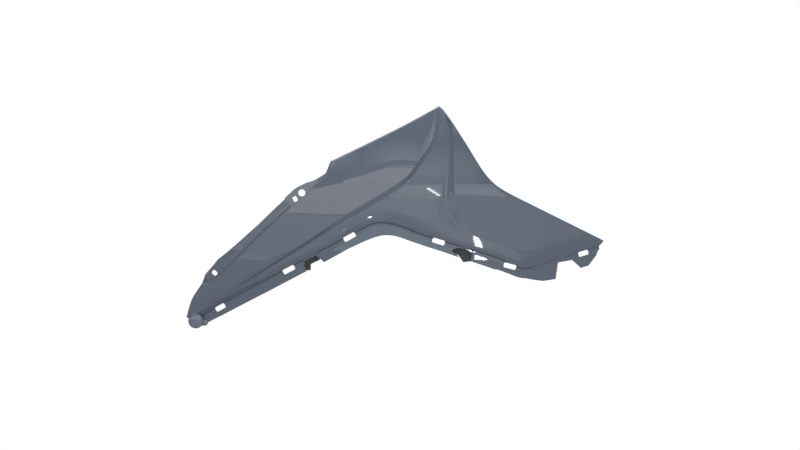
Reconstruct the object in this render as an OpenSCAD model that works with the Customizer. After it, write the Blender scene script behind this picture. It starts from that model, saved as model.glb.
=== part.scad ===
// Lower side panel of a motor scooter: one moulded plastic shell with creased outer face,
// a stepped fixing flange along its lower edge, a stepped flange with two tabs along its
// front edge, and a turned lip everywhere else.
// X runs along the scooter from the front tip to the rear tip, Z is up, and the painted
// face looks towards -Y. The origin is the mounting hole in the upper front tab.

/* [Panel] */
// Length from the front tip to the rear tip
panel_l = 626; // [560:1:700]
// Height from the round foot to the peak
panel_h = 332; // [300:1:370]
// Thickness of the moulded wall
wall = 2.5; // [2:0.1:3.2]
// Radius of the outer face from top to bottom
crown_r = 700; // [500:10:1400]
// Radius of the outer face from front to rear
sweep_r = 2200; // [1500:50:5000]
// Depth of the turned lip, measured from the outer face
lip_h = 7; // [5:0.5:12]

/* [Creases] */
// How far the front wing stands proud of the middle wedge at its crease
front_crease_h = 3.2; // [1:0.1:5]
// Width of the front wing's crease where it is widest
front_crease_w = 8.5; // [5:0.5:10]
// How far the rear wing stands proud of the middle wedge at its crease
rear_crease_h = 3.5; // [1:0.5:5]
// How far the brow of the front wing leans back at the peak
brow_h = 5; // [0:0.5:8]
// How far the outer face rolls in at its lower edge
roll_h = 5; // [0:0.5:7]
// Height of that roll
roll_w = 24; // [15:1:30]

/* [Flanges] */
// Step from the outer face down to the flanges
joggle = 3; // [2:0.25:4]
// Width of the lower flange
flange_w = 18.5; // [15:0.5:20]
// Width of the skirt at the rear end of the lower flange
skirt_w = 31; // [24:0.5:34]
// Width of the rear tab
rear_tab_w = 26; // [20:0.5:28]
// Width of the front flange
front_flange_w = 15; // [12:0.5:16]
// Width of the front flange at its lower tab
front_tab_w = 20.5; // [16:0.5:22]

/* [Slots] */
// Length of the slots in the lower flange
slot_l = 19; // [14:0.5:24]
// Length of the first and the last slot
end_slot_l = 15.3; // [10:0.1:20]
// Width of the slots in the lower flange
slot_w = 7.4; // [6:0.1:9]
// Corner radius of the slots
slot_r = 2; // [1:0.25:2.5]
// Length of the slots in the two front tabs
tab_slot_l = 8.2; // [7:0.1:12]
// Width of the slots in the two front tabs
tab_slot_w = 6.3; // [5:0.1:8]

/* [Upper front tab] */
// Diameter of the round mounting hole
hole_d = 10.5; // [8:0.1:13]
// How far the tab lies below the flange around it
pad_step = 1.5; // [0.5:0.25:1.5]

/* [Foot] */
// Diameter of the round foot at the front tip
foot_d = 22.8; // [16:0.2:26]
// Length of the foot
foot_l = 14; // [10:0.5:20]
// Diameter of the small peg beside the foot
peg_d = 10; // [7:0.2:12]

/* [Clip brackets] */
// Depth of the two clip brackets behind the flange
bracket_h = 9; // [6:0.5:12]
// Thickness of their walls
bracket_t = 2; // [1.6:0.1:3]

/* [Hidden] */
paint = [0.38, 0.42, 0.47];
$fn = 48;
// Lower slots: station, length, drop below the outer face's edge, turn from that edge
slots = [[0.0473, end_slot_l, 1.4, 0], [0.2206, slot_l, 0.8, 0], [0.3738, slot_l, -0.3, 0],
    [0.6014, slot_l, 0.5, 0], [0.7818, slot_l, 0.3, 11], [0.9607, end_slot_l, 2.2, 0]];
foot_proud = 2;
peg_set = 4;
dimple_d = 5;

// Places on the outline are shares of the panel's length and height, from its lower left
hole_at = [0.278, 0.608];
foot_at = [0.0228, 0.0295];
peg_at = [0.044, 0.022];
dimple_at = [0.059, 0.057];
notch_at = [[0.8925, 0.293], [0.926, 0.304], [0.9455, 0.272], [0.9455, 0.15], [0.8815, 0.15]];
// Slots in the two front tabs, each with its turn
tab_slots_at = [[0.262, 0.580, -62], [0.069, 0.247, -46]];

// Clip brackets: station, then the window in the flange and the plate behind it, drawn with
// X along the lower edge of the outer face and Y up from it
front_bracket = [0.292,
    [[-22, -4.5], [-2, -4.5], [3.8, -19], [3.8, -30], [-26, -30], [-25.5, -17]],
    [[-26, -2.5], [2, -2.5], [0, -12.8], [-15, -12.4], [-19.5, -20.4], [-26.5, -17.5]]];
rear_bracket = [0.662,
    [[-14, -9], [-7, -4.5], [4.7, -3.2], [11.8, -5.5], [15.5, -9], [18, -30], [0, -30],
        [-3, -16.2], [-13.9, -12.5]],
    [[-17, -2.5], [17, -2.5], [19, -12], [17.9, -18.2], [6.6, -23.2], [-3.5, -15], [-17, -14]]];

// Each rail is a smooth line through its points: station, share of length, share of height.
// A station is the share of the way along the lower edge. The rear wing's crease runs down
// from the peak, between the stations of the fold and of the strip.
fold_s = 0.703;
strip_s = 0.718;
lower_rail = [[0, 0.032, 0.050], [0.041, 0.072, 0.097], [0.214, 0.237, 0.267],
    [0.365, 0.381, 0.409], [0.410, 0.424, 0.453], [0.445, 0.457, 0.477],
    [0.490, 0.501, 0.470], [0.565, 0.572, 0.421], [0.753, 0.752, 0.315],
    [0.786, 0.783, 0.284], [0.815, 0.811, 0.271], [0.850, 0.844, 0.283],
    [0.890, 0.883, 0.312], [0.961, 0.951, 0.352], [1, 0.988, 0.371]];
groove_rail = [[0, 0.025, 0.057], [0.041, 0.059, 0.108], [0.102, 0.122, 0.178],
    [0.214, 0.225, 0.297], [0.365, 0.371, 0.470], [0.432, 0.449, 0.554],
    [0.490, 0.517, 0.637], [0.530, 0.545, 0.689], [0.565, 0.562, 0.742],
    [0.640, 0.592, 0.842], [0.670, 0.601, 0.910], [fold_s, 0.606, 0.991]];
tip_rail = [[0, 0.0035, 0.066], [0.030, 0.018, 0.127], [0.060, 0.041, 0.194]];
front_rail = [[0.066, 0.053, 0.194], [0.102, 0.097, 0.260], [0.157, 0.137, 0.335],
    [0.214, 0.188, 0.431], [0.297, 0.251, 0.542], [0.365, 0.337, 0.686]];
top_rail = [[0.372, 0.3495, 0.7445], [0.431, 0.4305, 0.8185], [0.490, 0.514, 0.8968],
    [0.565, 0.563, 0.9463], [fold_s, 0.606, 0.991]];
rear_rail = [[fold_s, 0.606, 0.991], [strip_s, 0.614, 0.977], [0.735, 0.630, 0.9356],
    [0.750, 0.6664, 0.8298], [0.770, 0.706, 0.709], [0.790, 0.7343, 0.647],
    [0.820, 0.7685, 0.6037], [0.870, 0.830, 0.545], [1, 0.9972, 0.3895]];
fold_rail = [[0, 0.704, 0.342], [0.1, 0.690, 0.395], [0.2, 0.666, 0.442],
    [0.3, 0.641, 0.490], [0.4, 0.626, 0.544], [0.5, 0.623, 0.607],
    [0.7, 0.631, 0.747], [0.9, 0.629, 0.910], [1, 0.606, 0.991]];
// The brow of the front wing: share of length, share of height
brow_line = [[0.273, 0.621], [0.369, 0.673], [0.433, 0.705], [0.476, 0.732], [0.508, 0.742],
    [0.551, 0.738]];

// Stations across the panel, closer together where the outline turns
function steps(a, b, n) = [for (i = [0 : n - 1]) a + (b - a) * i / n];
tip_stations = steps(0, 0.060, 4);
front_stations = steps(0.066, 0.365, 18);
top_stations = steps(0.372, fold_s, 22);
rear_stations = concat(steps(fold_s, strip_s, 3), steps(strip_s, 0.86, 12), steps(0.86, 1, 9),
    [1]);
stations = concat(tip_stations, [0.060], front_stations, [0.365], top_stations, rear_stations);
fold_i = len(tip_stations) + len(front_stations) + len(top_stations) + 2;
last_i = len(stations) - 1;

// Rows of the middle wedge and rear wing, then rows of the front wing
main_rows = [0, 0.04, 0.1, 0.18, 0.28, 0.4, 0.52, 0.64, 0.76, 0.88, 1];
main_j = len(main_rows) - 1;
wing_j = 8;
lip_rings = 3;

// Smooth line through stated points
function seg(rail, s, k = 0) = k >= len(rail) - 2 || s < rail[k + 1][0] ? k : seg(rail, s, k + 1);
function slope(rail, k) =
    let (a = max(k - 1, 0), b = min(k + 1, len(rail) - 1))
    (rail[b] - rail[a]) / (rail[b][0] - rail[a][0]);
function along(rail, s) =
    let (
        k = seg(rail, s),
        d = rail[k + 1][0] - rail[k][0],
        u = (s - rail[k][0]) / d,
        p = (2 * u ^ 3 - 3 * u ^ 2 + 1) * rail[k] + (u ^ 3 - 2 * u ^ 2 + u) * d * slope(rail, k)
            + (3 * u ^ 2 - 2 * u ^ 3) * rail[k + 1] + (u ^ 3 - u ^ 2) * d * slope(rail, k + 1)
    )
    place([p[1], p[2]]);
function place(share) = [(share[0] - hole_at[0]) * panel_l, (share[1] - hole_at[1]) * panel_h];
function ramp(x, a, b) = let (u = min(max((x - a) / (b - a), 0), 1)) u * u * (3 - 2 * u);

function lower_edge(s) = along(lower_rail, s);
function wing_edge(s) =
    s < 0.063 ? along(tip_rail, s) : s < 0.368 ? along(front_rail, s) : along(top_rail, s);
function main_edge(s) = s <= fold_s ? along(groove_rail, s) : along(rear_rail, s);

// Point of the middle wedge or the rear wing: it bends with the fold near the fold, and the
// crease beside the fold swells half way up
fold_reach = 0.22;
fold_swell = 6;
function fold_bend(t) =
    along(fold_rail, t) - (1 - t) * along(fold_rail, 0) - t * along(fold_rail, 1);
function swell(s, t) =
    fold_swell * ramp(t, 0.2, 0.4) * (1 - ramp(t, 0.5, 0.75)) * ramp(s, fold_s, strip_s)
    * (1 - ramp(s, strip_s, 0.78));
function main_point(s, t) =
    (1 - t) * lower_edge(s) + t * main_edge(s)
    + (1 - ramp(abs(s - fold_s), 0, fold_reach)) * fold_bend(t) + [swell(s, t), 0];

// Point of the front wing: u runs from 0 at the top of the crease to 1 at the wing's edge,
// and row 0 is the foot of the crease
function crease_width(s) =
    front_crease_w * (0.53 + 0.47 * ramp(s, 0.25, 0.45) * (1 - ramp(s, 0.52, 0.62)));
function wing_u(j) = (j - 1) / (wing_j - 1);
function wing_point(s, j) =
    let (
        low = main_edge(s),
        high = wing_edge(s),
        first = min(crease_width(s) / norm(high - low), 0.3),
        share = j == 0 ? 0 : first + (1 - first) * wing_u(j)
    )
    (1 - share) * low + share * high;

// Depth of the outer face behind the plane of the mounting hole's tab
face_y = -joggle - pad_step;
brow_reach = 110;
function crown(p) = p[0] ^ 2 / (2 * sweep_r) + p[1] ^ 2 / (2 * crown_r) + face_y;
function front_crease(s) = front_crease_h * ramp(s, 0.02, 0.35) * (1 - ramp(s, 0.50, 0.70));
function rear_crease(s, t) =
    rear_crease_h * ramp(t, 0.08, 0.5) * (1 - ramp(t, 0.9, 1)) * ramp(s, fold_s, strip_s)
    * (1 - ramp(s, 0.74, 0.98));
function roll(p, s) = roll_h * max(1 - norm(p - lower_edge(s)) / roll_w, 0) ^ 2;
function brow(p) =
    let (
        share = p[0] / panel_l + hole_at[0],
        rise = p[1] - place([share, lookup(share, brow_line)])[1]
    )
    brow_h * ramp(share, 0.3, 0.46) * (1 - ramp(share, 0.545, 0.6)) * ramp(rise, 0, brow_reach);
function main_y(s, t, p) = crown(p) + roll(p, s) - rear_crease(s, t);
function wing_y(s, j, p) =
    crown(p) + roll(p, s)
    + (j == 0 ? 0 : brow(p) * ramp(wing_u(j), -1, 0.3) - front_crease(s) * (1 - wing_u(j)));
function solid_point(p, y) = [p[0], y, p[1]];

main_points = [for (s = stations, t = main_rows)
    let (p = main_point(s, t)) solid_point(p, main_y(s, t, p))];
wing_points = [for (i = [0 : fold_i - 1], j = [1 : wing_j])
    let (s = stations[i], p = wing_point(s, j)) solid_point(p, wing_y(s, j, p))];

function main_at(i, j) = i * (main_j + 1) + j;
function wing_at(i, j) =
    j == 0 || i == fold_i ? main_at(i, main_j) : len(main_points) + i * wing_j + j - 1;

// The edge of the outer face, once round: [point, station, which edge]
LOWER = 0;
REAR = 1;
FRONT = 2;
edge = concat(
    [for (i = [0 : last_i]) [main_at(i, 0), stations[i], LOWER]],
    [for (j = [1 : main_j]) [main_at(last_i, j), 1, REAR]],
    [for (i = [last_i - 1 : -1 : fold_i]) [main_at(i, main_j), stations[i], REAR]],
    [for (i = [fold_i - 1 : -1 : 0]) [wing_at(i, wing_j), stations[i], FRONT]],
    [for (j = [wing_j - 1 : -1 : 0]) [wing_at(0, j), 0, FRONT]],
    [for (j = [main_j - 1 : -1 : 1]) [main_at(0, j), 0, FRONT]]
);
edge_n = len(edge);
face_points = concat(main_points, wing_points);
function edge_point(q) = face_points[edge[(q + edge_n) % edge_n][0]];
function flat(p) = [p[0], p[2]];
function unit(v) = v / norm(v);
function outward(q) =
    let (
        before = unit(flat(edge_point(q)) - flat(edge_point(q - 1))),
        after = unit(flat(edge_point(q + 1)) - flat(edge_point(q))),
        t = unit(before + after)
    )
    [t[1], -t[0]] / max(t * after, 0.7);

// Width of the flange along each edge; where it is nothing, the edge is a turned lip
lower_widths = [[0, flange_w - 4.5], [0.04, flange_w - 2], [0.16, flange_w],
    [0.30, flange_w + 0.6], [0.36, flange_w - 0.5], [0.44, flange_w + 3.5],
    [0.5, flange_w - 0.5], [0.56, flange_w - 1.8], [0.62, flange_w - 1.6], [0.68, flange_w],
    [0.75, flange_w + 0.7], [0.786, flange_w - 3.7], [0.82, flange_w - 1.8],
    [0.85, skirt_w - 5.4], [0.885, skirt_w + 0.8], [0.93, rear_tab_w], [0.965, rear_tab_w],
    [0.99, 14.6], [1, 5.5]];
front_widths = [[0.066, front_tab_w - 7], [0.102, front_tab_w], [0.157, front_flange_w + 2],
    [0.214, front_flange_w - 0.7], [0.297, front_flange_w], [0.320, front_flange_w + 0.7],
    [0.345, front_flange_w / 2], [0.365, joggle + 0.5]];
function is_flange(q) =
    let (e = edge[q]) e[2] == LOWER || e[2] == FRONT && e[1] > 0.063 && e[1] < 0.368;
function flange_width(q) =
    let (e = edge[q]) lookup(e[1], e[2] == LOWER ? lower_widths : front_widths);

// Section of the flange and of the lip: three rings, each a way out and a way back
function flange_out(r, w) = [joggle, (joggle + w) / 2, w][r];
lip_out = [0.8 * wall, wall, wall];
lip_back = [0.25 * wall, wall, lip_h];
function ring_point(q, r, back) =
    let (
        p = edge_point(q),
        a = flat(p),
        g = a + outward(q) * flange_out(r, flange_width(q)),
        l = a + outward(q) * (back ? 0 : lip_out[r])
    )
    is_flange(q)
        ? solid_point(g, p[1] + crown(g) - crown(a) + joggle + (back ? wall : 0))
        : solid_point(l, p[1] + (back ? wall + (lip_h - wall) * (r + 1) / lip_rings : lip_back[r]));

outer = concat(face_points,
    [for (q = [0 : edge_n - 1], r = [0 : lip_rings - 1]) ring_point(q, r, false)]);
inner = concat([for (p = face_points) p + [0, wall, 0]],
    [for (q = [0 : edge_n - 1], r = [0 : lip_rings - 1]) ring_point(q, r, true)]);
side_n = len(outer);

function ring_at(q, r) =
    let (k = (q + edge_n) % edge_n) r == 0 ? edge[k][0] : len(face_points) + k * lip_rings + r - 1;
quads = concat(
    [for (i = [0 : last_i - 1], j = [0 : main_j - 1])
        [main_at(i, j), main_at(i + 1, j), main_at(i + 1, j + 1), main_at(i, j + 1)]],
    [for (i = [0 : fold_i - 1], j = [0 : wing_j - 1])
        [wing_at(i, j), wing_at(i + 1, j), wing_at(i + 1, j + 1), wing_at(i, j + 1)]],
    [for (q = [0 : edge_n - 1], r = [0 : lip_rings - 1])
        [ring_at(q, r + 1), ring_at(q + 1, r + 1), ring_at(q + 1, r), ring_at(q, r)]]
);
rim = [for (q = [0 : edge_n - 1])
    let (a = ring_at(q, lip_rings), b = ring_at(q + 1, lip_rings))
    [a, a + side_n, b + side_n, b]];
function halves(quad) = [[quad[2], quad[1], quad[0]], [quad[3], quad[2], quad[0]]];
function real(tri) = tri[0] != tri[1] && tri[1] != tri[2] && tri[2] != tri[0];
function turned(tri) = [tri[2] + side_n, tri[1] + side_n, tri[0] + side_n];
outer_tris = [for (quad = quads, tri = halves(quad)) if (real(tri)) tri];
shell_tris = concat(outer_tris, [for (tri = outer_tris) turned(tri)],
    [for (quad = rim, tri = halves(quad)) tri]);

module shell() {
    polyhedron(points = concat(outer, inner), faces = shell_tris, convexity = 10);
}

// Cuts and fittings lie flat against the panel: drawn in X and Z, with their depth along Y
module through(y1, y2) {
    translate([0, y2, 0]) rotate([90, 0, 0]) linear_extrude(height = y2 - y1) children();
}
function arc(c, r, from, n = 4) =
    [for (i = [0 : n]) c + r * [cos(from + 90 * i / n), sin(from + 90 * i / n)]];
module round_slot(l, w, r) {
    x = l / 2 - r;
    y = w / 2 - r;
    polygon(concat(arc([x, y], r, 0), arc([-x, y], r, 90), arc([-x, -y], r, 180),
        arc([x, -y], r, 270)));
}

// Carries its children to the lower flange: X along it, Y towards the outer face
function lower_turn(s) =
    let (d = lower_edge(s + 0.004) - lower_edge(s - 0.004)) atan2(d[1], d[0]);
module on_lower_flange(s, out) {
    a = lower_turn(s);
    translate(lower_edge(s)) rotate(a) translate([0, -out]) children();
}
function flange_y(s, out) =
    let (a = lower_turn(s), e = lower_edge(s), p = e + out * [sin(a), -cos(a)])
    crown(p) + roll_h + joggle;

front_y = -20;
back_y = 90;
module lower_slots() {
    for (k = slots)
        through(front_y, back_y) on_lower_flange(k[0], slot_w / 2 + k[2]) rotate(k[3])
            round_slot(k[1], slot_w, slot_r);
}

module tab_slots() {
    for (at = tab_slots_at)
        through(front_y, back_y) translate(place(at)) rotate(at[2])
            round_slot(tab_slot_l, tab_slot_w, slot_r);
}

// The round hole's tab is a flat pad, square to the hole and a step below the flange
pad_outline = [[-26, -8], [-17, -20], [-10, -18], [11, 0], [28, 22], [6.5, 15], [-3, 10.5],
    [-11, 6]];
module pad() {
    through(0, wall) polygon(pad_outline);
}
module pad_recess() {
    through(front_y, 0) polygon(pad_outline);
}
module mounting_hole() {
    through(-1, wall + 1) circle(d = hole_d);
}

// The lower flange stops short at the rear, and is cut away in front of each clip bracket
module rear_notch() {
    through(front_y, back_y) polygon([for (at = notch_at) place(at)]);
}
module bracket_window(row) {
    through(front_y, back_y) on_lower_flange(row[0], 0) polygon(row[1]);
}

// Clip bracket: a plate behind the flange's window, carried by a cheek at each end
cheek_w = 10;
cheek_drop = 8;
module bracket(row) {
    y = flange_y(row[0], flange_w / 2) + wall;
    along_edge = [for (p = row[2]) p[0]];
    through(y + bracket_h - bracket_t, y + bracket_h) on_lower_flange(row[0], 0)
        polygon(row[2]);
    for (x = [min(along_edge) + bracket_t, max(along_edge) - 2 * bracket_t])
        through(y - wall / 2, y + bracket_h) on_lower_flange(row[0], cheek_drop)
            translate([x, 0]) square([bracket_t, cheek_w], center = true);
}

// Round foot and small peg at the front tip
module foot() {
    c = place(foot_at);
    y = crown(c);
    through(y - foot_proud, y - foot_proud + foot_l) translate(c) circle(d = foot_d);
    through(y + peg_set, y - foot_proud + foot_l) translate(place(peg_at)) circle(d = peg_d);
}
module dimple() {
    c = place(dimple_at);
    y = crown(c) + roll_h + joggle;
    through(y - 5, y + wall / 2) translate(c) circle(d = dimple_d);
}

module side_panel() {
    color(paint) {
        difference() {
            union() {
                difference() {
                    shell();
                    pad_recess();
                    rear_notch();
                    bracket_window(front_bracket);
                    bracket_window(rear_bracket);
                }
                pad();
                foot();
                bracket(front_bracket);
                bracket(rear_bracket);
            }
            lower_slots();
            tab_slots();
            mounting_hole();
            dimple();
        }
    }
}

side_panel();
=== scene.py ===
import math

import bpy
import bmesh
from mathutils import Matrix, Vector
from mathutils.kdtree import KDTree


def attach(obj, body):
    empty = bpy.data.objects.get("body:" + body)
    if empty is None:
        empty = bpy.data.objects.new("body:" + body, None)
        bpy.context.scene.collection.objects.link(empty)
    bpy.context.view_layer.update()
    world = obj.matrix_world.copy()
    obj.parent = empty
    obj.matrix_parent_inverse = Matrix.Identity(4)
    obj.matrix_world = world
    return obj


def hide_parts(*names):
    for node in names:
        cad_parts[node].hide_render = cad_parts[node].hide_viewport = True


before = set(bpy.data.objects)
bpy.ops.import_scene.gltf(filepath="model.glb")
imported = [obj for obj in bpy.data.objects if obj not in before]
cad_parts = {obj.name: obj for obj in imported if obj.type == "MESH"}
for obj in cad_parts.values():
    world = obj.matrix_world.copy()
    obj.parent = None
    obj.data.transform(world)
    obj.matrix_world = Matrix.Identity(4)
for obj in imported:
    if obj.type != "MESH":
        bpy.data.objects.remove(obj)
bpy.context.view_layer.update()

# Driving sizes of the panel, in millimetres
MM = 0.001
PANEL_L = 626.0
PANEL_H = 332.0
WALL = 2.5
CROWN_R = 700.0
SWEEP_R = 2200.0
LIP_H = 7.0
JOGGLE = 3.0
FLANGE_W = 18.5
SKIRT_W = 31.0
REAR_TAB_W = 26.0
TAIL_W = 14.6
TAIL_END_W = 5.5
FRONT_FLANGE_W = 15.0
FRONT_TAB_W = 20.5
FRONT_CREASE_H = 3.5
FRONT_CREASE_W = 8.5
REAR_CREASE_H = 4.0
BROW_H = 5.0
BROW_REACH = 110.0
BROW_STEP = 1.0
BROW_STEP_HALF = 3.0
ROLL_H = 5.0
ROLL_W = 24.0
SLOT_L = 19.0
END_SLOT_L = 15.3
SLOT_W = 7.4
SLOT_R = 2.0
TAB_SLOT_L = 8.2
TAB_SLOT_W = 6.3
HOLE_D = 10.5
PAD_STEP = 1.5
FOOT_D = 22.8
FOOT_L = 14.0
FOOT_PROUD = 2.0
FOOT_ROUNDING = 2.5
PEG_D = 10.0
PEG_SET = 4.0
PEG_ROUNDING = 0.8
DIMPLE_D = 5.0
BRACKET_H = 9.0
BRACKET_T = 2.0
CHEEK_W = 10.0
CHEEK_DROP = 8.0

# Places on the outline: shares of the panel's length and height, from its lower left
HOLE_AT = (0.278, 0.608)
TAB_SLOTS = ((0.262, 0.580, -62.0), (0.069, 0.247, -46.0))
FOOT_AT = (0.0228, 0.0295)
PEG_AT = (0.044, 0.022)
DIMPLE_AT = (0.059, 0.057)
NOTCH = ((0.8925, 0.293), (0.926, 0.304), (0.9455, 0.272), (0.9455, 0.15), (0.8815, 0.15))
# Lower slots: station, length, drop below the face's edge, turn from that edge
SLOTS = (
    (0.0473, END_SLOT_L, 1.4, 0), (0.2206, SLOT_L, 0.8, 0), (0.3738, SLOT_L, -0.3, 0),
    (0.6014, SLOT_L, 0.5, 0), (0.7818, SLOT_L, 0.3, 11), (0.9607, END_SLOT_L, 2.2, 0))
PAD = ((-26, -8), (-17, -20), (-10, -18), (11, 0), (28, 22), (6.5, 15), (-3, 10.5), (-11, 6))
# Clip brackets on the lower flange: station, window and plate, each X along it and Y up
FRONT_BRACKET = (
    0.292,
    ((-22, -4.5), (-2, -4.5), (3.8, -19), (3.8, -30), (-26, -30), (-25.5, -17)),
    ((-26, -2.5), (2, -2.5), (0, -12.8), (-15, -12.4), (-19.5, -20.4), (-26.5, -17.5)))
REAR_BRACKET = (
    0.662,
    ((-14, -9), (-7, -4.5), (4.7, -3.2), (11.8, -5.5), (15.5, -9), (18, -30), (0, -30),
     (-3, -16.2), (-13.9, -12.5)),
    ((-17, -2.5), (17, -2.5), (19, -12), (17.9, -18.2), (6.6, -23.2), (-3.5, -15), (-17, -14)))
BRACKETS = (FRONT_BRACKET, REAR_BRACKET)

# Stations run from 0 at the front tip to 1 at the tail: where the tip's edge and the upper
# tab end, where the top edge starts, the rear fold, and the strip behind it with its end
TIP_END_S = 0.063
TAB_END_S = 0.365
TOP_S = 0.372
FOLD_S = 0.703
STRIP_S = 0.718
STRIP_END_S = 0.735
# Stations between which the upper tab's edge steps back from the wing's
TAB_STEP_S = (0.297, 0.431)

# Rails of the outer face: station, share of length, share of height
LOWER_RAIL = (
    (0, 0.032, 0.050), (0.041, 0.072, 0.097), (0.214, 0.237, 0.267), (0.365, 0.381, 0.409),
    (0.410, 0.424, 0.453), (0.445, 0.457, 0.477), (0.490, 0.501, 0.470), (0.565, 0.572, 0.421),
    (0.753, 0.752, 0.315), (0.786, 0.783, 0.284), (0.815, 0.811, 0.271), (0.850, 0.844, 0.283),
    (0.890, 0.883, 0.312), (0.961, 0.951, 0.352), (1, 0.988, 0.371))
GROOVE_RAIL = (
    (0, 0.025, 0.057), (0.041, 0.059, 0.108), (0.102, 0.122, 0.178), (0.214, 0.225, 0.297),
    (0.365, 0.371, 0.470), (0.432, 0.449, 0.554), (0.490, 0.517, 0.637), (0.530, 0.545, 0.689),
    (0.565, 0.562, 0.742), (0.640, 0.592, 0.842), (0.670, 0.601, 0.910), (FOLD_S, 0.606, 0.991))
TIP_RAIL = ((0, 0.0045, 0.050), (0.030, 0.018, 0.127), (0.060, 0.041, 0.194))
FRONT_RAIL = (
    (0.066, 0.053, 0.194), (0.102, 0.097, 0.260), (0.157, 0.137, 0.335), (0.214, 0.188, 0.431),
    (0.297, 0.251, 0.542), (TAB_END_S, 0.337, 0.686))
TOP_RAIL = (
    (TOP_S, 0.3495, 0.7445), (0.431, 0.4305, 0.8185), (0.490, 0.514, 0.8968),
    (0.565, 0.563, 0.9463), (FOLD_S, 0.606, 0.991))
REAR_RAIL = (
    (FOLD_S, 0.606, 0.991), (STRIP_S, 0.614, 0.977), (STRIP_END_S, 0.630, 0.9356),
    (0.750, 0.6664, 0.8298), (0.770, 0.706, 0.709), (0.790, 0.7343, 0.647),
    (0.820, 0.7685, 0.6037), (0.870, 0.830, 0.545), (1, 0.9972, 0.3895))
FOLD_RAIL = (
    (0, 0.704, 0.342), (0.1, 0.690, 0.395), (0.2, 0.666, 0.442), (0.3, 0.641, 0.490),
    (0.4, 0.626, 0.544), (0.5, 0.623, 0.607), (0.7, 0.631, 0.747), (0.9, 0.629, 0.910),
    (1, 0.606, 0.991))
# The brow's line: share of length twice, then share of height
BROW_RAIL = (
    (0.273, 0.273, 0.621), (0.369, 0.369, 0.673), (0.433, 0.433, 0.705), (0.476, 0.476, 0.732),
    (0.508, 0.508, 0.742), (0.551, 0.551, 0.738))
# Shares of the length where the brow starts and where it has run out
BROW_FROM, BROW_TO = 0.26, 0.6

# Widths of the flange round the edge: station, millimetres
LOWER_WIDTHS = (
    (0, FLANGE_W - 4.5), (0.04, FLANGE_W - 2), (0.16, FLANGE_W), (0.30, FLANGE_W + 0.6),
    (0.36, FLANGE_W - 0.5), (0.44, FLANGE_W + 3.5), (0.5, FLANGE_W - 0.5),
    (0.56, FLANGE_W - 1.8), (0.62, FLANGE_W - 1.6), (0.68, FLANGE_W), (0.75, FLANGE_W + 0.7),
    (0.786, FLANGE_W - 3.7), (0.82, FLANGE_W - 1.8), (0.85, SKIRT_W - 5.4),
    (0.885, SKIRT_W + 0.8), (0.93, REAR_TAB_W), (0.965, REAR_TAB_W),
    (0.99, TAIL_W), (1, TAIL_END_W))
FRONT_WIDTHS = (
    (0.066, FRONT_TAB_W - 7), (0.102, FRONT_TAB_W), (0.157, FRONT_FLANGE_W + 2),
    (0.214, FRONT_FLANGE_W - 0.7), (0.297, FRONT_FLANGE_W), (0.320, FRONT_FLANGE_W + 0.7),
    (0.345, FRONT_FLANGE_W / 2), (TAB_END_S, JOGGLE + 0.5))


# Curves

def slope(rail, k):
    """How fast a rail's two shares change with the station, at its point k."""
    a, b = max(k - 1, 0), min(k + 1, len(rail) - 1)
    return [(rail[b][n] - rail[a][n]) / (rail[b][0] - rail[a][0]) for n in (1, 2)]


def place(share):
    """Shares of the length and the height to millimetres from the hole."""
    return Vector(((share[0] - HOLE_AT[0]) * PANEL_L, (share[1] - HOLE_AT[1]) * PANEL_H))


def along(rail, s):
    """Point of the smooth line through a rail's points, at station s."""
    k = 0
    while k < len(rail) - 2 and s >= rail[k + 1][0]:
        k += 1
    d = rail[k + 1][0] - rail[k][0]
    u = (s - rail[k][0]) / d
    before, after = slope(rail, k), slope(rail, k + 1)
    return place([
        (2 * u ** 3 - 3 * u ** 2 + 1) * rail[k][n + 1] + (u ** 3 - 2 * u ** 2 + u) * d * before[n]
        + (3 * u ** 2 - 2 * u ** 3) * rail[k + 1][n + 1] + (u ** 3 - u ** 2) * d * after[n]
        for n in (0, 1)])


def lookup(x, table):
    """Value at x on the straight lines through a table's pairs."""
    if x <= table[0][0]:
        return table[0][1]
    for (x0, y0), (x1, y1) in zip(table, table[1:]):
        if x <= x1:
            return y0 + (y1 - y0) * (x - x0) / (x1 - x0)
    return table[-1][1]


def straight(x, a, b):
    """0 up to a and 1 from b on, with a straight line between."""
    return min(max((x - a) / (b - a), 0), 1)


def ramp(x, a, b):
    """0 up to a and 1 from b on, with a smooth start and end."""
    u = straight(x, a, b)
    return u * u * (3 - 2 * u)


def steps(a, b, n):
    """n even steps from a, which stop short of b."""
    return [a + (b - a) * i / n for i in range(n)]


def lower_edge(s):
    return along(LOWER_RAIL, s)


def main_edge(s):
    return along(GROOVE_RAIL if s <= FOLD_S else REAR_RAIL, s)


def wing_edge(s):
    if s < TIP_END_S:
        return along(TIP_RAIL, s)
    if s <= TAB_END_S:
        return along(FRONT_RAIL, s)
    if s >= TOP_S:
        return along(TOP_RAIL, s)
    share = (s - TAB_END_S) / (TOP_S - TAB_END_S)
    return along(FRONT_RAIL, TAB_END_S).lerp(along(TOP_RAIL, TOP_S), share)


# Outer face: the middle wedge with the rear wing, and the front wing above its crease

FOLD_REACH = 0.22
FOLD_SWELL = 6.0
SWELL_END_S = 0.78
FACE_Y = -JOGGLE - PAD_STEP
EDGE_SAMPLES = 4000


def fold_bend(t):
    """How far the fold leaves the straight line between its ends."""
    return along(FOLD_RAIL, t) - (1 - t) * along(FOLD_RAIL, 0) - t * along(FOLD_RAIL, 1)


def main_point(s, t):
    """t runs from 0 at the lower edge to 1 at the crease or the top edge."""
    swell = ramp(t, 0.2, 0.4) * (1 - ramp(t, 0.5, 0.75)) * ramp(s, FOLD_S, STRIP_S)
    swell *= 1 - ramp(s, STRIP_S, SWELL_END_S)
    return ((1 - t) * lower_edge(s) + t * main_edge(s)
            + (1 - ramp(abs(s - FOLD_S), 0, FOLD_REACH)) * fold_bend(t)
            + Vector((FOLD_SWELL * swell, 0)))


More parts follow.
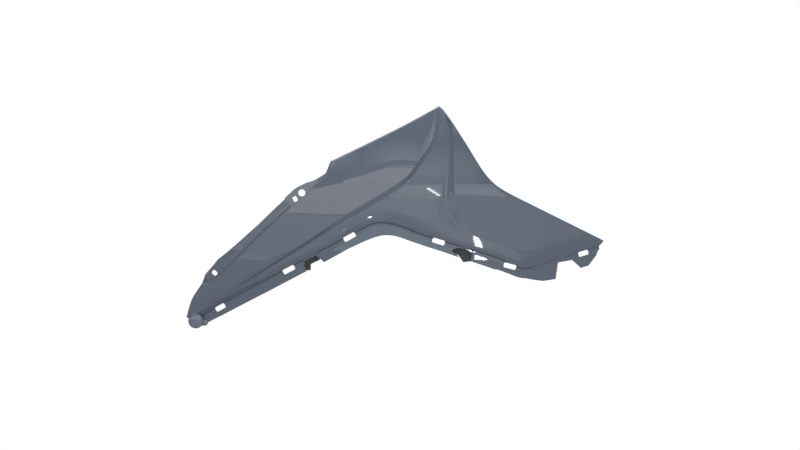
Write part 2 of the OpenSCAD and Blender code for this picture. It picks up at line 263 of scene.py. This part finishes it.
def crease_width(s):
    """The front crease is widest in its middle."""
    return FRONT_CREASE_W * (0.53 + 0.47 * ramp(s, 0.25, 0.45) * (1 - ramp(s, 0.52, 0.62)))


def wing_point(s, u):
    """u runs from -1 to 0 over the crease and from 0 to 1 over the wing."""
    low, high = main_edge(s), wing_edge(s)
    reach = max((high - low).length, 1e-6)
    first = min(crease_width(s) / reach, 0.3)
    share = first * (u + 1) if u < 0 else first + (1 - first) * u
    return low.lerp(high, share)


def crown(p):
    """Depth of the plain face, bowed both ways."""
    return p.x ** 2 / (2 * SWEEP_R) + p.y ** 2 / (2 * CROWN_R) + FACE_Y


def nearest(points):
    """A tree that finds the nearest of some points."""
    tree = KDTree(len(points))
    for i, p in enumerate(points):
        tree.insert(p, i)
    tree.balance()
    return tree


LOWER_LINE = nearest([lower_edge(i / EDGE_SAMPLES).to_3d() for i in range(EDGE_SAMPLES + 1)])


def roll(p):
    """How far the face rolls back close to its lower edge."""
    above = LOWER_LINE.find(p.to_3d())[2]
    return ROLL_H * max(1 - above / ROLL_W, 0) ** 2


def brow(p):
    """How far the wing leans back above the brow's line, with a small step on the line."""
    share = p.x / PANEL_L + HOLE_AT[0]
    if not BROW_FROM < share < BROW_TO:
        return 0.0
    rise = p.y - along(BROW_RAIL, min(max(share, BROW_RAIL[0][0]), BROW_RAIL[-1][0])).y
    fade = ramp(share, BROW_FROM, 0.42) * (1 - ramp(share, 0.545, BROW_TO))
    return fade * (BROW_H * straight(rise, 0, BROW_REACH)
                   + BROW_STEP * ramp(rise, -BROW_STEP_HALF, BROW_STEP_HALF))


def rear_crease(p, s, t):
    """How far the rear wing stands out behind the fold; fades at its foot, peak and tail."""
    across, up = p.x / PANEL_L + HOLE_AT[0], p.y / PANEL_H + HOLE_AT[1]
    apex = ramp(t, 0.9, 1) * (1 - ramp(s, STRIP_S, STRIP_END_S))
    fade = ramp(up, 0.4, 0.66) * (1 - apex) * (1 - ramp(across, 0.68, 0.95))
    return REAR_CREASE_H * fade * straight(s, FOLD_S, STRIP_S)


def crease_reach(s):
    """How far up the wing the front crease leans it, even where the tab's edge steps back."""
    a, b = TAB_STEP_S
    if not a < s < b:
        return (wing_edge(s) - main_edge(s)).length
    near, far = [(wing_edge(q) - main_edge(q)).length for q in (a, b)]
    return near + (far - near) * straight(s, a, b)


def front_crease(s, u):
    """How far the wing stands out at the front crease, less and less up the wing."""
    fade = ramp(s, 0.02, 0.35) * (1 - ramp(s, 0.50, 0.70))
    above = (wing_point(s, u) - wing_point(s, 0)).length
    lean = max(1 - above / max(crease_reach(s), 1), 0)
    return FRONT_CREASE_H * fade * (1 + u if u < 0 else lean)


def main_face(s, t):
    p = main_point(s, t)
    return Vector((p.x, crown(p) + roll(p) - rear_crease(p, s, t), p.y))


def wing_face(s, u):
    p = wing_point(s, u)
    lean = brow(p) * ramp(u, -1, 0.3)
    return Vector((p.x, crown(p) + roll(p) + lean - front_crease(s, u), p.y))


# The mesh: stations along the panel, and rows up the middle and up the wing. A close pair of
# stations keeps the strip's far edge sharp.
TIP_LAST_S, FRONT_FIRST_S = TIP_RAIL[-1][0], FRONT_RAIL[0][0]
SHARP_GAP = 0.0008
REAR_TAB_S = 0.86
STATIONS = (
    steps(0, TIP_LAST_S, 10) + [TIP_LAST_S] + steps(FRONT_FIRST_S, TAB_END_S, 56)
    + steps(TAB_END_S, TOP_S, 5) + steps(TOP_S, FOLD_S, 66) + steps(FOLD_S, STRIP_S, 5)
    + [STRIP_S] + steps(STRIP_S + SHARP_GAP, REAR_TAB_S, 34) + steps(REAR_TAB_S, 1, 28) + [1.0])
FOLD_I = STATIONS.index(FOLD_S)
MAIN_ROWS = [(j / 40) ** 1.2 for j in range(41)]
WING_ROWS = [j / 5 - 1 for j in range(5)] + [j / 56 for j in range(57)]


# Tools for modelling

def deselect():
    bpy.ops.object.select_all(action="DESELECT")


def pick(*objects):
    deselect()
    for o in objects:
        o.select_set(True)
    bpy.context.view_layer.objects.active = objects[0]


def edit_all():
    bpy.ops.object.mode_set(mode="EDIT")
    bpy.ops.mesh.select_all(action="SELECT")


def leave_edit():
    bpy.ops.object.mode_set(mode="OBJECT")


def grid_on(name, columns, rows, point):
    """A grid whose columns and rows are carried to the panel's face."""
    deselect()
    nx, ny = len(columns) - 1, len(rows) - 1
    bpy.ops.mesh.primitive_grid_add(x_subdivisions=nx, y_subdivisions=ny, size=1)
    o = bpy.context.object
    o.name = name
    for v in o.data.vertices:
        i = round((v.co.x + 0.5) * nx)
        j = round((v.co.y + 0.5) * ny)
        v.co = point(columns[i], rows[j]) * MM
    return o


# Edge of the face, once round: place, station and whether it is the lower, rear or front edge
LOWER, REAR, FRONT = range(3)
EDGE = (
    [(main_face(s, 0), s, LOWER) for s in STATIONS]
    + [(main_face(1, t), 1, REAR) for t in MAIN_ROWS[1:]]
    + [(main_face(s, 1), s, REAR) for s in STATIONS[-2:FOLD_I - 1:-1]]
    + [(wing_face(s, 1), s, FRONT) for s in STATIONS[FOLD_I - 1::-1]]
    + [(wing_face(0, u), 0, FRONT) for u in WING_ROWS[-2::-1]]
    + [(main_face(0, t), 0, FRONT) for t in MAIN_ROWS[-2:0:-1]])


def flat(p):
    return Vector((p.x, p.z))


def outward(q):
    """Direction out of the face at point q of its edge, longer at a corner."""
    here = flat(EDGE[q][0])
    before = (here - flat(EDGE[q - 1][0])).normalized()
    after = (flat(EDGE[(q + 1) % len(EDGE)][0]) - here).normalized()
    t = (before + after).normalized()
    return Vector((t.y, -t.x)) / max(t.dot(after), 0.7)


# Rings beyond the edge: a stepped flange, or a rounded lip that turns back
STEP_RINGS = (0.12, 0.3, 0.5, 0.7, 0.88, 1.0)
FLAT_RINGS = (0.3, 0.65, 1.0)
LIP_TURNS = (15, 30, 50, 70, 90)
LIP_DROPS = (0.25, 0.5, 0.75, 1.0)
RINGS = len(STEP_RINGS) + len(FLAT_RINGS)


def flange_ring(q, r, back):
    """Point q of ring r where the edge is a flange."""
    p, s, side = EDGE[q]
    w = lookup(s, LOWER_WIDTHS if side == LOWER else FRONT_WIDTHS)
    if r < len(STEP_RINGS):
        out, drop = JOGGLE * STEP_RINGS[r], JOGGLE * ramp(STEP_RINGS[r], 0, 1)
    else:
        out, drop = JOGGLE + (w - JOGGLE) * FLAT_RINGS[r - len(STEP_RINGS)], JOGGLE
    g = flat(p) + outward(q) * out
    y = p.y + crown(g) - crown(flat(p)) + drop + (WALL if back else 0)
    return Vector((g.x, y, g.y))


def lip_ring(q, r, back):
    """Point q of ring r where the edge is a lip."""
    p = EDGE[q][0]
    if back:
        return p + Vector((0, WALL + (LIP_H - WALL) * (r + 1) / RINGS, 0))
    if r < len(LIP_TURNS):
        a = math.radians(LIP_TURNS[r])
        out, drop = WALL * math.sin(a), WALL * (1 - math.cos(a))
    else:
        out, drop = WALL, WALL + (LIP_H - WALL) * LIP_DROPS[r - len(LIP_TURNS)]
    g = flat(p) + outward(q) * out
    return Vector((g.x, p.y + drop, g.y))


def is_flange(q):
    s, side = EDGE[q][1:]
    return side == LOWER or (side == FRONT and TIP_END_S < s <= TAB_END_S)


def panel_side(name, back):
    """One side of the moulding: the face, then its edge extruded ring by ring."""
    shift = Vector((0, WALL if back else 0, 0))
    main = grid_on(name, STATIONS, MAIN_ROWS, lambda s, t: main_face(s, t) + shift)
    wing = grid_on(name + "_wing", STATIONS[:FOLD_I + 1], WING_ROWS,
                   lambda s, u: wing_face(s, u) + shift)
    pick(main, wing)
    bpy.ops.object.join()
    edit_all()
    bpy.ops.mesh.remove_doubles(threshold=2e-6)
    bpy.ops.mesh.region_to_loop()
    rim = [(p + shift) * MM for p, s, side in EDGE]
    for r in range(RINGS):
        near = nearest(rim)
        bpy.ops.mesh.extrude_edges_move()
        leave_edit()
        rim = [(flange_ring if is_flange(q) else lip_ring)(q, r, back) * MM
               for q in range(len(EDGE))]
        for v in main.data.vertices:
            if v.select:
                v.co = rim[near.find(v.co)[1]]
        bpy.ops.object.mode_set(mode="EDIT")
    bpy.ops.mesh.select_all(action="SELECT")
    bpy.ops.mesh.normals_make_consistent(inside=False)
    leave_edit()
    centre = max(main.data.polygons, key=lambda f: f.area)
    if (centre.normal.y > 0) != back:
        edit_all()
        bpy.ops.mesh.flip_normals()
        leave_edit()
    return main


def panel_shell():
    """The outer and the inner side, joined along their rims."""
    outer = panel_side("side_panel_moulding", False)
    outer.data.materials.append(PAINT)
    inner = panel_side("side_panel_back", True)
    inner.data.materials.append(BARE_AND_SHADE)
    pick(outer, inner)
    bpy.ops.object.join()
    edit_all()
    bpy.ops.mesh.region_to_loop()
    bpy.ops.mesh.bridge_edge_loops()
    leave_edit()
    return outer


def plate(name, outline, y1, y2):
    """A flat plate: an outline in X and Z, in millimetres, from y1 back to y2."""
    deselect()
    bpy.ops.mesh.primitive_circle_add(vertices=len(outline), fill_type="NGON")
    o = bpy.context.object
    o.name = name
    for v, (x, z) in zip(o.data.vertices, outline):
        v.co = Vector((x, y1, z)) * MM
    edit_all()
    bpy.ops.mesh.extrude_region_move(TRANSFORM_OT_translate={"value": (0, (y2 - y1) * MM, 0)})
    bpy.ops.mesh.select_all(action="SELECT")
    bpy.ops.mesh.normals_make_consistent(inside=False)
    leave_edit()
    return o


def rod(name, at, d, y1, y2, rounding=0.0):
    """A round bar along Y, its front edge rounded."""
    deselect()
    bpy.ops.mesh.primitive_cylinder_add(
        vertices=64, radius=d / 2 * MM, depth=(y2 - y1) * MM,
        location=(at.x * MM, (y1 + y2) / 2 * MM, at.y * MM), rotation=(math.pi / 2, 0, 0))
    o = bpy.context.object
    o.name = name
    bpy.ops.object.transform_apply(location=True, rotation=True, scale=True)
    if rounding:
        m = o.modifiers.new("round", "BEVEL")
        m.width = rounding * MM
        m.segments = 4
        bpy.ops.object.modifier_apply(modifier=m.name)
    return o


def arc(c, r, start, n=5):
    return [c + r * Vector((math.cos(math.radians(start + 90 * i / n)),
                            math.sin(math.radians(start + 90 * i / n)))) for i in range(n + 1)]


def slot_outline(l, w, r):
    x, y = l / 2 - r, w / 2 - r
    return (arc(Vector((x, y)), r, 0) + arc(Vector((-x, y)), r, 90)
            + arc(Vector((-x, -y)), r, 180) + arc(Vector((x, -y)), r, 270))


def turned(points, degrees, at):
    c, s = math.cos(math.radians(degrees)), math.sin(math.radians(degrees))
    return [at + Vector((c * x - s * y, s * x + c * y)) for x, y in points]


def lower_turn(s):
    """The lower edge's slope in degrees."""
    d = lower_edge(s + 0.004) - lower_edge(s - 0.004)
    return math.degrees(math.atan2(d.y, d.x))


def on_lower_flange(points, s):
    """Carries an outline to the lower flange: X along it, Y towards the outer face."""
    return turned(points, lower_turn(s), lower_edge(s))


def shifted(points, dx, dy):
    return [Vector((p[0] + dx, p[1] + dy)) for p in points]


def rectangle(l, w):
    return [Vector((x * l / 2, y * w / 2)) for x, y in ((-1, -1), (1, -1), (1, 1), (-1, 1))]


def flange_y(s, out):
    """Depth of the lower flange's outer side, at a distance out from the face's edge."""
    a = math.radians(lower_turn(s))
    return crown(lower_edge(s) + out * Vector((math.sin(a), -math.cos(a)))) + ROLL_H + JOGGLE


def boolean(target, tool, operation):
    """Cuts or joins a tool; a joined tool brings its own material."""
    m = target.modifiers.new("cut", "BOOLEAN")
    m.operation = operation
    m.solver = "EXACT"
    m.material_mode = "TRANSFER" if operation == "UNION" else "INDEX"
    m.object = tool
    pick(target)
    bpy.ops.object.modifier_apply(modifier=m.name)
    bpy.data.objects.remove(tool, do_unlink=True)


def joined(objects):
    pick(*objects)
    bpy.ops.object.join()
    return bpy.context.object


# Cutting tools reach past the moulding on both sides
FRONT_Y, BACK_Y = -20.0, 90.0
PAST = 3.0


def cut_windows(panel):
    """The pad's recess, the rear notch and the windows in front of the clip brackets."""
    tools = [plate("recess", PAD, FRONT_Y, 0),
             plate("notch", [place(a) for a in NOTCH], FRONT_Y, BACK_Y)]
    for s, window, _ in BRACKETS:
        tools.append(plate("window", on_lower_flange(window, s), FRONT_Y, BACK_Y))
    boolean(panel, joined(tools), "DIFFERENCE")


def bracket(s, outline):
    """Clip bracket: a plate behind its window, carried by a cheek at each end; its near-black is
    painted shade.
    """
    y = flange_y(s, FLANGE_W / 2) + WALL
    low, high = min(x for x, z in outline), max(x for x, z in outline)
    parts = [plate("plate", on_lower_flange(outline, s), y + BRACKET_H - BRACKET_T,
                   y + BRACKET_H)]
    for x in (low + BRACKET_T, high - 2 * BRACKET_T):
        cheek = shifted(rectangle(BRACKET_T, CHEEK_W), x, -CHEEK_DROP)
        parts.append(plate("cheek", on_lower_flange(cheek, s), y - WALL / 2, y + BRACKET_H))
    return parts


def add_fittings(panel):
    """The tab's flat pad, the clip brackets, the foot and its peg."""
    foot, peg = place(FOOT_AT), place(PEG_AT)
    y = crown(foot)
    end = y - FOOT_PROUD + FOOT_L
    painted = [plate("pad", PAD, 0, WALL),
               rod("foot", foot, FOOT_D, y - FOOT_PROUD, end, FOOT_ROUNDING),
               rod("peg", peg, PEG_D, y + PEG_SET, end, PEG_ROUNDING)]
    # The clip brackets take the near-black moulding as painted shade of the hollows behind their
    # windows
    shaded_bracket_parts = [part for s, _, outline in BRACKETS for part in bracket(s, outline)]
    for part in painted + shaded_bracket_parts:
        part.data.materials.append(BARE_AND_SHADE if part in shaded_bracket_parts else PAINT)
        boolean(panel, part, "UNION")


def cut_slots(panel):
    tools = []
    for s, l, drop, turn in SLOTS:
        outline = turned(slot_outline(l, SLOT_W, SLOT_R), turn, Vector((0, -SLOT_W / 2 - drop)))
        tools.append(plate("slot", on_lower_flange(outline, s), FRONT_Y, BACK_Y))
    for x, z, turn in TAB_SLOTS:
        outline = slot_outline(TAB_SLOT_L, TAB_SLOT_W, SLOT_R)
        tools.append(plate("slot", turned(outline, turn, place((x, z))), FRONT_Y, BACK_Y))
    tools.append(rod("hole", Vector((0, 0)), HOLE_D, -PAST, WALL + PAST))
    dimple = place(DIMPLE_AT)
    y = crown(dimple) + ROLL_H + JOGGLE
    tools.append(rod("dimple", dimple, DIMPLE_D, y - 5, y + WALL / 2))
    boolean(panel, joined(tools), "DIFFERENCE")


def finish_mesh(panel):
    """Merges what touches, and shades the curves smooth and the corners sharp."""
    pick(panel)
    edit_all()
    bpy.ops.mesh.remove_doubles(threshold=1e-6)
    leave_edit()
    bpy.ops.object.shade_smooth_by_angle(angle=math.radians(35))


# Materials

def ripple_group():
    """Fine ripple of a sprayed gloss coat over moulded plastic, as a normal."""
    g = bpy.data.node_groups.new("paint_ripple", "ShaderNodeTree")
    g.interface.new_socket("Grain per metre", in_out="INPUT", socket_type="NodeSocketFloat")
    g.interface.new_socket("Grain depth", in_out="INPUT", socket_type="NodeSocketFloat")
    g.interface.new_socket("Normal", in_out="OUTPUT", socket_type="NodeSocketVector")
    g.interface.new_socket("Mottle", in_out="OUTPUT", socket_type="NodeSocketFloat")
    start = g.nodes.new("NodeGroupInput")
    end = g.nodes.new("NodeGroupOutput")
    where = g.nodes.new("ShaderNodeTexCoord")
    noise = g.nodes.new("ShaderNodeTexNoise")
    noise.inputs["Detail"].default_value = 2.0
    bump = g.nodes.new("ShaderNodeBump")
    bump.inputs["Strength"].default_value = 1.0
    g.links.new(where.outputs["Object"], noise.inputs["Vector"])
    g.links.new(start.outputs["Grain per metre"], noise.inputs["Scale"])
    g.links.new(start.outputs["Grain depth"], bump.inputs["Distance"])
    g.links.new(noise.outputs["Fac"], bump.inputs["Height"])
    g.links.new(bump.outputs["Normal"], end.inputs["Normal"])
    g.links.new(noise.outputs["Fac"], end.inputs["Mottle"])
    return g


def material(name):
    m = bpy.data.materials.new(name)
    m.use_nodes = True
    return m, m.node_tree, m.node_tree.nodes["Principled BSDF"]


def add_ripple(tree, shader, group, per_metre, depth, roughness):
    n = tree.nodes.new("ShaderNodeGroup")
    n.node_tree = group
    n.inputs["Grain per metre"].default_value = per_metre
    n.inputs["Grain depth"].default_value = depth
    rough = tree.nodes.new("ShaderNodeMapRange")
    rough.inputs["To Min"].default_value, rough.inputs["To Max"].default_value = roughness
    tree.links.new(n.outputs["Mottle"], rough.inputs["Value"])
    tree.links.new(rough.outputs["Result"], shader.inputs["Roughness"])
    tree.links.new(n.outputs["Normal"], shader.inputs["Normal"])


def slate_gloss(ripple):
    """Slate grey-blue paint under a clear gloss coat."""
    m, tree, shader = material("slate_gloss")
    shader.inputs["Base Color"].default_value = (0.047, 0.066, 0.103, 1)
    shader.inputs["Specular IOR Level"].default_value = 0.3
    shader.inputs["Coat Weight"].default_value = 1.0
    shader.inputs["Coat Roughness"].default_value = 0.03
    shader.inputs["Coat IOR"].default_value = 1.5
    add_ripple(tree, shader, ripple, 150, 0.0000012, (0.42, 0.48))
    return m


def bare_moulding_and_shade(ripple):
    """Unpainted dark plastic of the inner side, with its fine moulded grain; on the clip brackets
    it is painted shade.
    """
    m, tree, shader = material("bare_moulding_and_shade")
    shader.inputs["Base Color"].default_value = (0.022, 0.024, 0.027, 1)
    shader.inputs["Specular IOR Level"].default_value = 0.4
    add_ripple(tree, shader, ripple, 1400, 0.00001, (0.4, 0.55))
    return m


# Studio: a pale floor under the panel, a white surround and soft lamps

FLOOR_Z = -0.9
FLOOR_R = 0.5


def pale_floor():
    deselect()
    bpy.ops.mesh.primitive_circle_add(vertices=96, radius=FLOOR_R, fill_type="NGON",
                                      location=(0.14, 0, FLOOR_Z))
    floor = bpy.context.object
    floor.name = "floor"
    m, tree, shader = material("pale_floor")
    shader.inputs["Base Color"].default_value = (0.8, 0.8, 0.8, 1)
    shader.inputs["Roughness"].default_value = 0.9
    floor.data.materials.append(m)


def white_surround():
    """White to the camera, in the gloss and through holes; a softer light on the panel."""
    world = bpy.data.worlds.new("surround")
    bpy.context.scene.world = world
    world.use_nodes = True
    tree = world.node_tree
    back = tree.nodes["Background"]
    back.inputs["Color"].default_value = (1, 1, 1, 1)
    back.inputs["Strength"].default_value = 1.0
    soft = tree.nodes.new("ShaderNodeBackground")
    soft.inputs["Color"].default_value = (0.94, 0.97, 1, 1)
    soft.inputs["Strength"].default_value = 0.45
    light_path = tree.nodes.new("ShaderNodeLightPath")
    seen = tree.nodes.new("ShaderNodeMath")
    seen.operation = "MAXIMUM"
    seen_through = tree.nodes.new("ShaderNodeMath")
    seen_through.operation = "MAXIMUM"
    mix = tree.nodes.new("ShaderNodeMixShader")
    out = tree.nodes["World Output"]
    tree.links.new(light_path.outputs["Is Camera Ray"], seen.inputs[0])
    tree.links.new(light_path.outputs["Is Glossy Ray"], seen.inputs[1])
    tree.links.new(seen.outputs[0], seen_through.inputs[0])
    tree.links.new(light_path.outputs["Is Transmission Ray"], seen_through.inputs[1])
    tree.links.new(seen_through.outputs[0], mix.inputs["Fac"])
    tree.links.new(soft.outputs[0], mix.inputs[1])
    tree.links.new(back.outputs[0], mix.inputs[2])
    tree.links.new(mix.outputs[0], out.inputs["Surface"])


def lamp(name, at, azimuth, elevation, distance, size, radiance, colour=(1, 1, 1), turn=0,
         spread=180):
    """A flat lamp facing a place on the panel, in the direction where the place mirrors it.

    at is that place in millimetres, size is the lamp's width and height in degrees as seen
    from it, and radiance is how bright a mirror there would show it. A positive turn tips it
    counterclockwise as the camera sees it. A lamp with a spread shines within that angle
    only, so it lights one place. A lamp whose name starts with glint shows in the gloss alone.
    """
    a, e = math.radians(azimuth), math.radians(elevation)
    to_lamp = Vector((math.sin(a) * math.cos(e), -math.cos(a) * math.cos(e), math.sin(e)))
    w, h = [2 * distance * math.tan(math.radians(d / 2)) for d in size]
    data = bpy.data.lights.new(name, "AREA")
    data.shape = "RECTANGLE"
    data.size, data.size_y = w, h
    data.energy = radiance * math.pi * w * h
    if spread < 180:
        half = math.radians(spread / 2)
        data.spread = 2 * half
        data.energy *= (math.tan(half) - half) / math.tan(half)
    data.color = colour
    o = bpy.data.objects.new(name, data)
    bpy.context.scene.collection.objects.link(o)
    o.location = Vector(at) * MM + to_lamp * distance
    facing = to_lamp.to_track_quat("Z", "Y").to_matrix().to_4x4()
    o.rotation_euler = (facing @ Matrix.Rotation(math.radians(turn), 4, "Z")).to_euler()
    o.visible_camera = False
    o.visible_diffuse = not name.startswith("glint")
    return o


# Camera: the photograph's frame is 1.2 m wide at the panel, seen square on
IMAGE_W_PX, IMAGE_H_PX = 800, 450
MM_PER_PX = 1.5
HOLE_PX = (302.1, 192.9)
LENS_MM = 250.0
SENSOR_MM = 36
CLIP_END = 100
AIM = Vector(((IMAGE_W_PX / 2 - HOLE_PX[0]) * MM_PER_PX * MM, 0.02,
              (HOLE_PX[1] - IMAGE_H_PX / 2) * MM_PER_PX * MM))


def camera():
    data = bpy.data.cameras.new("camera")
    data.lens = LENS_MM
    data.sensor_width = SENSOR_MM
    o = bpy.data.objects.new("camera", data)
    bpy.context.scene.collection.objects.link(o)
    distance = IMAGE_W_PX * MM_PER_PX * MM * LENS_MM / data.sensor_width
    o.location = AIM - Vector((0, distance, 0))
    o.rotation_euler = (math.pi / 2, 0, 0)
    data.clip_end = CLIP_END
    bpy.context.scene.camera = o


# The scene. The bands light the face above and below its creases, the glows lift single
# fields, the low lamps light the flange and the roll, and the glints are the small highlights.

camera()
pale_floor()
white_surround()
MIDDLE = (140, 0, 0)
lamp("key", MIDDLE, -30, 58, 2.5, (36, 36), 4.0)
lamp("fill", MIDDLE, 40, 52, 2.5, (30, 30), 2.5)
lamp("band_front", MIDDLE, -4, 3.4, 6, (22, 8.2), 1.9, (1, 0.95, 0.94))
lamp("band_top", MIDDLE, 2.8, 9.8, 6, (8.6, 4.6), 2.1, (1, 0.97, 0.95))
lamp("band_rear", MIDDLE, 9.5, 0.7, 6, (5, 3.6), 1.3, (0.95, 1, 0.97))
lamp("band_tail", MIDDLE, 17, -2.2, 6, (8.4, 7), 1.2, (0.95, 1, 0.97))
lamp("mid_glow", (192, 5, 31), 10.3, 6, 3, (20, 20), 1.1, spread=15)
lamp("low_left", MIDDLE, -8.2, -8, 6, (15.6, 14), 0.8, (0.75, 0.93, 1))
lamp("low_mid", MIDDLE, 5.6, -8, 6, (12, 14), 1.15, (0.7, 0.95, 1))
lamp("low_rear", MIDDLE, 19.8, -8, 6, (16.4, 14), 0.65, (0.75, 0.93, 1))
lamp("low_wide", MIDDLE, 10, -37, 3, (56, 44), 0.35, (0.75, 0.9, 1))
lamp("low_gap", MIDDLE, 9, -18, 3, (10, 6), 0.5, (0.75, 0.9, 1))
lamp("low_roll", MIDDLE, 12.2, -33.5, 3, (12.5, 25), 0.5, (0.75, 0.9, 1))
lamp("upper_glow", (154, 1.5, 49), 6, 17.2, 3, (20, 20), 2.0, spread=13.5)
lamp("glint_dot", (149, 0.8, -35.5), 14.5, -31.9, 1.5, (2.2, 7), 250, spread=4.9)
lamp("glint_streak", (197, 4.3, 0.7), 10.6, 0.6, 3, (0.26, 2.6), 26, turn=33)
lamp("glint_body", (263.8, 16.3, -73.6), 8.4, -33.5, 0.45, (1.9, 28), 60, turn=-10, spread=36)
lamp("glint_flange", (269.5, 26, -93), 14.9, -15, 0.25, (5.2, 6), 60, spread=6)

RIPPLE = ripple_group()
# The dark moulding is the inner side's own colour, and painted shade on the clip brackets
PAINT, BARE_AND_SHADE = slate_gloss(RIPPLE), bare_moulding_and_shade(RIPPLE)
panel = panel_shell()
cut_windows(panel)
add_fittings(panel)
cut_slots(panel)
finish_mesh(panel)
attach(panel, "root")
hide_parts("side_panel")

scene = bpy.context.scene
scene.view_settings.view_transform = "Standard"
